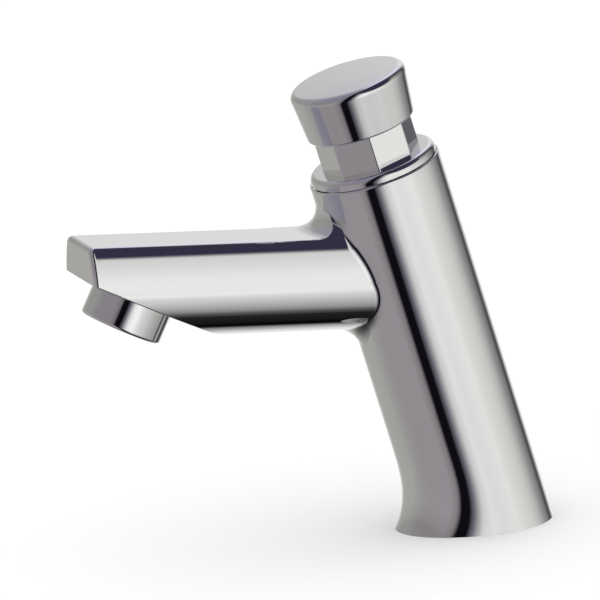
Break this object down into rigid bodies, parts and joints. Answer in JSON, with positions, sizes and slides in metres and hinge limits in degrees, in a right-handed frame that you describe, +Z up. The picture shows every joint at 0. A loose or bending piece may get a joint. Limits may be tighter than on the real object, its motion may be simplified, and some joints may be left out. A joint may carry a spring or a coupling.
{
  "type": "push timed tap",
  "caption": "Raked deck tap with a push button over a timing cartridge, an octagonal bonnet and a forward spout with a slanted aerator.",
  "frame": {"origin": "centre of the foot in the plane of its seat on the deck", "axes": "+Z up out of the deck, -Y forward along the spout, +X across it; the column leans forward by 13.9 degrees"},
  "size_m": [0.0422, 0.15, 0.1518],
  "materials": {
    "chrome": "polished chrome plate on brass",
    "rubber": "moulded",
    "plastic_black": "moulded",
    "plastic_white": "moulded",
    "brass": "turned",
    "steel": "drawn or stamped"
  },
  "bodies": {
    "tap": {"tap_body": "chrome", "base_seal": "rubber", "inlet_filter_ring": "plastic_black", "inlet_filter_screen": "steel", "cartridge_sleeve": "plastic_white", "sleeve_oring_lower": "rubber", "sleeve_oring_upper": "rubber", "timing_cup": "plastic_white", "timing_jet": "brass", "valve_seat": "brass", "stem_guide": "brass", "stem_oring_lower": "rubber", "stem_oring_upper": "rubber", "guide_oring": "rubber", "return_spring": "steel", "bonnet": "chrome", "bonnet_gasket": "rubber", "stem_bush": "plastic_white", "bush_circlip": "steel", "aerator_housing": "chrome", "aerator_gasket": "rubber", "aerator_core": "plastic_white", "flow_disc": "plastic_white", "aerator_screen": "steel"},
    "button": {"push_button": "chrome", "button_hub": "brass", "button_locknut": "brass", "valve_stem": "steel", "piston_nut": "steel", "timing_piston": "plastic_white", "piston_lip_seal": "rubber", "washer_carrier": "brass", "valve_washer": "rubber"}
  },
  "joints": [
    {"name": "button_press", "type": "slide", "parent": "tap", "child": "button", "axis": [0, 0.2402, -0.9707], "range_m": [0, 0.0075], "stiffness_N_per_m": 900, "springref_m": -0.008, "deforming": ["return_spring"]}
  ]
}
